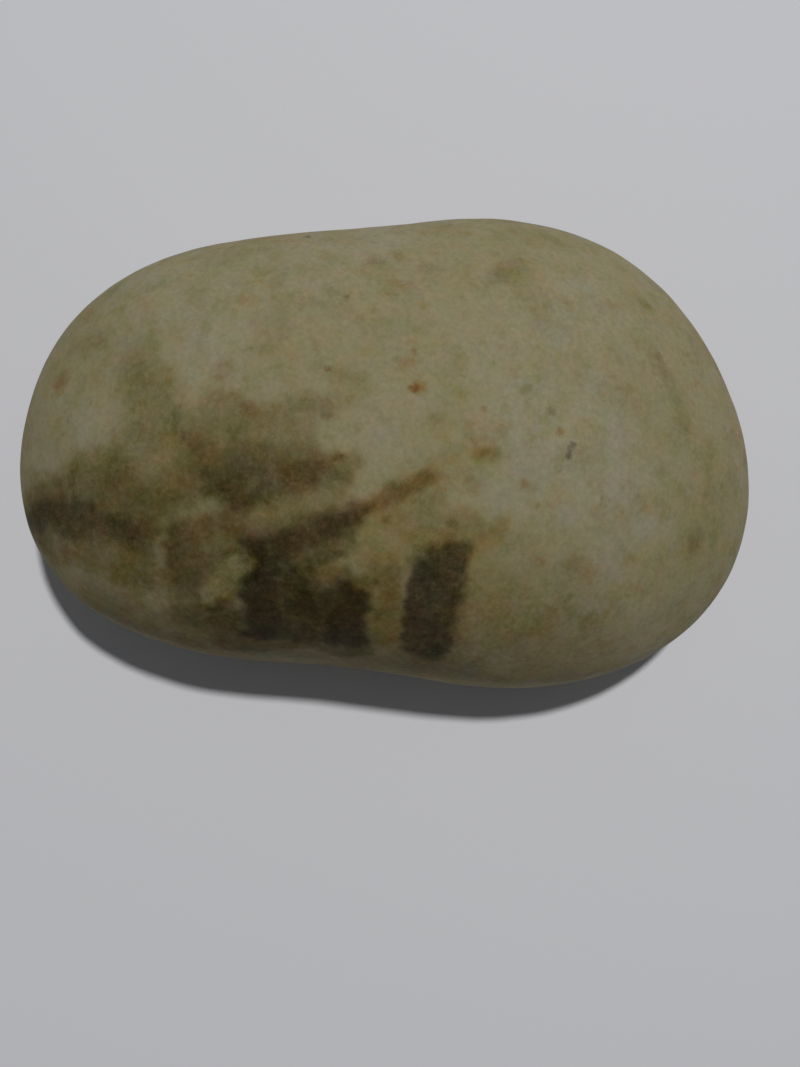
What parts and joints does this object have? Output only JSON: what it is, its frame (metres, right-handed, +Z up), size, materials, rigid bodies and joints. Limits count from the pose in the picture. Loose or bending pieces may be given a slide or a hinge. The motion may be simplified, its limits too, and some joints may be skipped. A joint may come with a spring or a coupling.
{
  "type": "river cobble",
  "caption": "Smooth water-worn stone with an oval plan and a domed top, pale khaki with dark mineral stains, resting on a small worn flat.",
  "frame": {"origin": "centre of the bounding box's bottom, on the worn flat that the stone rests on", "axes": "+X along the stone's length towards its fuller end, +Y across its width, +Z up through its thinnest direction"},
  "size_m": [0.137, 0.091, 0.046],
  "materials": {
    "worn_stone": "matte"
  },
  "bodies": {
    "root": {"cobble": "worn_stone"}
  },
  "joints": []
}
